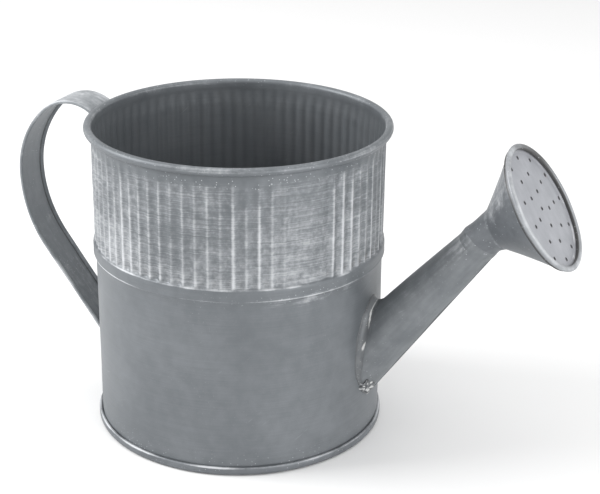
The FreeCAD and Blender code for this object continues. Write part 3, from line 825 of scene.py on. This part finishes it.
def rose_lip():
    """Edge of the cone rolled over the perforated plate, with its inner wall."""
    lip_r = ROSE_RIM_R - ROSE_LIP_R
    rows = []
    for a in np.radians(np.linspace(-115, 178, 24)):
        rows.append((lip_r + ROSE_LIP_R * math.cos(a), ROSE_LIP_R * 0.85 * math.sin(a)))
    rows += [(lip_r - 1.35 * MM, -0.8 * MM), (lip_r - 1.0 * MM, -ROSE_FACE_BACK + SHEET),
             (lip_r - 0.2 * MM, -ROSE_FACE_BACK + 0.2 * MM), (lip_r + 0.3 * MM, -2.3 * MM)]
    points = rose_turned(rows)
    uneven = Swell(0.025)(points)[..., None] * 0.12 * MM
    axis, _, _ = tilted_axes(ROSE_TILT)
    points = points + uneven * axis
    row = np.arange(len(rows))[:, None]
    turn = np.degrees(full_turn(LIP_COLUMNS))
    # Painted highlight on the rolled edge, at the left and along the bottom
    highlight_side = 0.25 + 0.75 * facing(turn, 240.0, 65.0) + 0.7 * facing(turn, 0.0, 50.0)
    wash = (0.62 + 0.2 * Swell(0.02)(points)) * bump_at(row, 15, 5) * highlight_side
    # Painted shade and dark reflection on the inner wall and the upper right side
    shade_and_grime = 0.95 * ramp(19.0, 22.0, row) + 0.75 * facing(turn, 138.0, 42.0)
    marks = {"wash": np.clip(wash, 0, 1.2), "dust": 0.6 + 0 * wash, "shade_and_grime": np.clip(shade_and_grime, 0, 1)}
    return skin("rose_lip", points, marks=marks)


def face_ring():
    """Soldered corner between the plate and the lip."""
    outer = ROSE_RIM_R - ROSE_LIP_R - 0.8 * MM
    top = -ROSE_FACE_BACK + SHEET
    rows = [(outer, top - 0.1 * MM), (outer, top + 0.5 * MM), (outer - 0.45 * MM, top + 0.3 * MM),
            (outer - 0.9 * MM, top + 0.22 * MM), (outer - 1.3 * MM, top + 0.24 * MM),
            (outer - 1.7 * MM, top + 0.1 * MM), (outer - 1.9 * MM, top - 0.1 * MM)]
    points = rose_turned(rows)
    row = np.arange(len(rows))[:, None]
    turn = np.degrees(full_turn(LIP_COLUMNS))
    # Painted highlight: the ring washed paler towards one side
    wash = (0.3 + 0.3 * Swell(0.015)(points)) * (0.3 + facing(turn, 40.0, 70.0))
    # Painted shade in the corner against the lip, lighter on the highlight's side
    shade_and_grime = 0.8 * ramp(3.0, 1.0, row) * (1 - 0.7 * facing(turn, 30.0, 50.0))
    return skin("face_ring", points, marks={"wash": np.clip(wash, 0, 1), "shade_and_grime": shade_and_grime})


def hole_edges():
    """Raised burr left round each punched hole, all in one mesh, painted near-black as shade round
    the holes.
    """
    ring = full_turn(24)
    section = full_turn(8)
    out = ROSE_HOLE_R + BURR_OUT + BURR_HALF_WIDTH * np.cos(section)[:, None]
    height = SHEET - ROSE_FACE_BACK + BURR_HALF_HEIGHT * np.sin(section)[:, None] + 0 * ring
    axis, side, below = tilted_axes(ROSE_TILT)
    quads = grid_faces(section.size, ring.size)
    corners, faces = [], []
    for radius, count, first in ROSE_RINGS:
        for degrees in first + np.arange(count) * 360.0 / count:
            angle = math.radians(degrees)
            across = radius * MM * math.cos(angle) + out * np.cos(ring)
            sideways = radius * MM * math.sin(angle) + out * np.sin(ring)
            burr = (ROSE_CENTRE + across[..., None] * below + sideways[..., None] * side
                    + height[..., None] * axis)
            faces.append(quads + len(corners) * height.size)
            corners.append(burr.reshape(-1, 3))
    corners = np.concatenate(corners)
    # Painted shade: the whole burr darkened
    shade_and_grime = np.ones(len(corners))
    return new_piece("hole_edges", corners, np.concatenate(faces), {"shade_and_grime": shade_and_grime})


# ---------------------------------------------------------------- handle

def follow(points, headings, arcs, sign):
    """Carries a path on along tangent arcs of (radius in mm, turn in degrees) in the XZ plane.
    A sign of 1 turns it from X towards Z, and -1 the other way. It takes about one step a
    millimetre."""
    for radius, turn in arcs:
        steps = max(4, int(turn * radius / 60) + 3)
        for _ in range(steps):
            a0 = math.radians(headings[-1])
            a1 = a0 + sign * math.radians(turn / steps)
            chord = np.array([math.sin(a1) - math.sin(a0), math.cos(a0) - math.cos(a1)])
            points.append(points[-1] + sign * radius * MM * chord)
            headings.append(math.degrees(a1))


def run_on(points, headings, length, steps):
    """Carries a path straight on."""
    a = math.radians(headings[-1])
    start = points[-1]
    for k in range(1, steps + 1):
        points.append(start + np.array([math.cos(a), math.sin(a)]) * length * k / steps)
        headings.append(headings[-1])


def path_to_foot():
    """Middle line of the strap from its top, out round the back and down to the foot."""
    points, headings = [STRAP_TOP], [180.0]
    follow(points, headings, STRAP_BACK, 1)
    turn = headings[-1] - 270.0
    foot_drop = STRAP_FOOT_ARC_R * MM * (1 - math.cos(math.radians(turn)))
    foot_x = -(WALL_R + STRAP_STAND_OFF) - foot_drop
    run_on(points, headings, (foot_x - points[-1][0]) / math.cos(math.radians(headings[-1])), 22)
    follow(points, headings, [(STRAP_FOOT_ARC_R, turn)], -1)
    run_on(points, headings, points[-1][1] - STRAP_LOW.z, 8)
    return points, headings


def path_to_rim():
    """Middle line of the strap from its top, in to the rim and down to the upper tab."""
    points, headings = [STRAP_TOP], [0.0]
    follow(points, headings, STRAP_RIM, -1)
    run_on(points, headings, STRAP_DROP, 3)
    side = -(CREST_R + STRAP_STAND_OFF) - points[-1][0]
    joggle = 2 * STRAP_JOGGLE_R * MM * (1 - math.sqrt(0.5))
    follow(points, headings, [(STRAP_JOGGLE_R, 45.0)], 1)
    run_on(points, headings, (side - joggle) * math.sqrt(2), 3)
    follow(points, headings, [(STRAP_JOGGLE_R, 45.0)], -1)
    run_on(points, headings, points[-1][1] - STRAP_TAB_LOW_Z, 8)
    return points, headings


def strap_path():
    """Middle line of the strap from the tab under the rim to the foot, and its headings."""
    up, up_headings = path_to_rim()
    down, down_headings = path_to_foot()
    headings = [h + 180.0 for h in up_headings[::-1]] + down_headings[1:]
    return np.array(up[::-1] + down[1:]), np.radians(headings)


def strap_section():
    """(across, inward) outline of the strap: flat sheet with its edges rolled inwards."""
    half = STRAP_WIDTH / 2
    outside, inside = -STRAP_HALF_SHEET, STRAP_HALF_SHEET
    outline = [(y, outside) for y in np.linspace(-half + HEM_R, half - HEM_R, 9)]
    for a in np.radians(np.linspace(-90, 150, 13)):
        outline.append((half - HEM_R + HEM_R * math.cos(a), outside + HEM_R + HEM_R * math.sin(a)))
    outline.append((half - 2.15 * HEM_R, inside + 0.35 * MM))
    outline.append((half - 2.9 * HEM_R, inside + 0.02 * MM))
    outline += [(y, inside) for y in np.linspace(half - 3.6 * HEM_R, -half + 3.6 * HEM_R, 7)]
    outline.append((-half + 2.9 * HEM_R, inside + 0.02 * MM))
    outline.append((-half + 2.15 * HEM_R, inside + 0.35 * MM))
    for a in np.radians(np.linspace(30, 270, 13)):
        outline.append((-half + HEM_R + HEM_R * math.cos(a), outside + HEM_R + HEM_R * math.sin(a)))
    return np.array(outline[:-1])


def over_tabs(length, upper, lower):
    """1 over both tabs and 0 between, with each end's fade as distances in mm from that end."""
    total = length[-1]
    at_rim = 1 - ramp(upper[0] * MM, upper[1] * MM, length)
    at_foot = ramp(total - lower[1] * MM, total - lower[0] * MM, length)
    return np.maximum(at_rim, at_foot)


def strap_grid(section):
    """Points of the strap: its section swept along the path, flat and wrapped at the tabs."""
    path, heading = strap_path()
    across, inward = section.T
    steps = np.linalg.norm(np.diff(path, axis=0), axis=1)
    length = np.concatenate([[0], np.cumsum(steps)])
    half_way = length[-1] / 2
    flat = over_tabs(length, (9, 22), (12, 28))
    pressed = STRAP_HALF_SHEET + (inward - STRAP_HALF_SHEET) * 0.12
    lift = np.where(inward > STRAP_HALF_SHEET, pressed, inward)
    depth = inward + (lift - inward) * flat[:, None]
    wall = np.where(length < half_way, CREST_R, WALL_R)[:, None] + STRAP_STAND_OFF
    sag = wall - np.sqrt(wall ** 2 - across ** 2)
    wrapped = over_tabs(length, (13, 21), (13, 24))[:, None]
    x = path[:, :1] - np.sin(heading)[:, None] * depth + sag * wrapped
    z = path[:, 1:] + np.cos(heading)[:, None] * depth
    points = np.stack([x, across + np.zeros_like(x), z], -1)
    points[..., 1] += 0.25 * MM * np.sin(length / length[-1] * 9.0)[:, None]
    points[..., 0] += Swell(0.05)(points) * 0.12 * MM * (1 - wrapped)
    return points


def strap_marks(points, section):
    """Wash along the hems, in patches and over its top; paler low down as painted light against the
    can's shade; painted shade in the folds.
    """
    z = points[..., 2]
    from_middle = np.abs(section[:, 0])
    edge = ramp(STRAP_WIDTH / 2 - 3.2 * MM, STRAP_WIDTH / 2 - 1.2 * MM, from_middle)
    patch, blotch = Swell(0.02)(points), Swell(0.006)(points)
    wash = edge * (0.16 + 0.12 * patch) + 0.06 * np.clip(patch, 0, 2)
    wash += 0.3 * np.clip(blotch - 1.1, 0, 1)
    # Painted light: paler low down, where the can shades the strap
    wash += 0.2 * (1 - ramp(55 * MM, 120 * MM, z))
    outside = (section[:, 1] < 0) * 1.0
    wash += (0.42 + 0.1 * patch) * ramp(156 * MM, 165 * MM, z) * outside
    # Painted shade in the fold beside each hem on the inner face
    fold = bump_at(from_middle, STRAP_WIDTH / 2 - 2.6 * MM, 0.45 * MM)
    shade_and_grime = 0.85 * fold * (1 - outside) + 0 * wash
    dust = 0.3 + 0.3 * np.clip(patch, 0, 1)
    return {"wash": np.clip(wash, 0, 1), "dust": dust, "shade_and_grime": shade_and_grime}


def handle():
    section = strap_section()
    points = strap_grid(section)
    band = skin("handle_band", points, along=False, marks=strap_marks(points, section))
    cap_ends(band, len(section), len(points))
    return band


def cap_ends(obj, columns, rows):
    """Closes the two open ends of a swept skin."""
    edit = bmesh.new()
    edit.from_mesh(obj.data)
    edit.verts.ensure_lookup_table()
    edit.faces.new([edit.verts[i] for i in range(columns)][::-1])
    edit.faces.new([edit.verts[(rows - 1) * columns + i] for i in range(columns)])
    bmesh.ops.recalc_face_normals(edit, faces=edit.faces)
    edit.to_mesh(obj.data)
    edit.free()


# ----------------------------------------------------------------- stage

def stage():
    """Pale floor, half a millimetre under the base."""
    bpy.ops.mesh.primitive_plane_add(size=6.0, location=(0.1, 0.4, -0.0005))
    floor = bpy.context.object
    floor.name = "floor"
    t = Tree("pale_floor")
    grain = t.noise(3.0, 2.0)
    colour = t.mix(grain, rgb(0.86, 0.86, 0.86), rgb(0.89, 0.89, 0.89))
    floor.data.materials.append(t.finish(colour, 0.8, 0.0, grain, 0.0))


def area_light(name, place, target, size, power):
    data = bpy.data.lights.new(name, "AREA")
    data.shape = "RECTANGLE"
    data.size, data.size_y = size
    data.energy = power
    lamp = bpy.data.objects.new(name, data)
    bpy.context.scene.collection.objects.link(lamp)
    lamp.location = place
    lamp.rotation_euler = (Vector(target) - Vector(place)).to_track_quat("-Z", "Y").to_euler()


def lights():
    """A white surround, with the key light at the left."""
    world = bpy.data.worlds.new("studio")
    world.use_nodes = True
    background = world.node_tree.nodes["Background"]
    background.inputs["Color"].default_value = (1, 1, 1, 1)
    background.inputs["Strength"].default_value = 0.8
    bpy.context.scene.world = world
    middle = (0.03, 0.0, 0.09)
    area_light("key", (-1.1, -0.45, 0.8), middle, (0.7, 0.9), 17.0)
    area_light("top", (0.1, 0.1, 1.3), middle, (1.2, 1.2), 4.0)
    area_light("side", (1.2, -0.5, 0.45), middle, (0.6, 0.9), 7.5)


def camera():
    """Looks down at 22 degrees, from 22.2 degrees round towards the spout."""
    azimuth, elevation = math.radians(22.2), math.radians(22.03)
    roll = math.radians(0.67)
    distance = 0.7938
    aim = Vector((0.0299, 0.0122, 0.0948))
    back = Vector((math.sin(azimuth) * math.cos(elevation),
                   -math.cos(azimuth) * math.cos(elevation), math.sin(elevation)))
    data = bpy.data.cameras.new("camera")
    data.lens = 89.1
    data.sensor_width = 36.0
    lens = bpy.data.objects.new("camera", data)
    bpy.context.scene.collection.objects.link(lens)
    lens.location = aim + back * distance
    rotation = (-back).to_track_quat("-Z", "Y").to_euler()
    rotation.rotate_axis("Z", roll)
    lens.rotation_euler = rotation
    bpy.context.scene.camera = lens


def refinish(paints):
    """Gives CAD nodes that stay as they are their materials."""
    for node, paint in paints.items():
        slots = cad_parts[node].data.materials
        slots.clear()
        slots.append(paint)


def main():
    bpy.context.scene.view_settings.view_transform = "Standard"
    wall_paint, tube_paint, base_paint = wall_material(), tube_material(), base_material()
    cone_paint, strap_paint = cone_material(), strap_material()
    rose_paint, lip_paint = rose_material(), lip_material()
    solder_paint, wire_paint = solder_material(), wire_material()

    keep(cut_water_way(body_sheet()), "body_wall", wall_paint)
    keep(base_hoop(), "base_seam", base_paint)
    keep(spout_tube(), "spout_tube", tube_paint)
    keep(root_fillet(), "spout_root_solder", solder_paint)
    keep(solder_crust(), "solder_lump", solder_paint)
    keep(neck_joint(), "neck_solder", tube_paint)
    keep(rose_sheet(), "rose_cone", cone_paint)
    keep(rose_lip(), "rose_rim", lip_paint)
    keep(hole_edges(), None, lip_paint)
    keep(face_ring(), "rose_face_solder", rose_paint)
    keep(handle(), "handle_strap", strap_paint)

    refinish({
        "base_plate": base_paint, "spout_seam": tube_paint, "rose_face": rose_paint,
        "rim_wire": wire_paint, "rose_rim_wire": wire_paint, "body_seam_solder": solder_paint,
        "handle_top_solder": solder_paint, "handle_foot_solder": solder_paint})
    stage()
    lights()
    camera()


main()
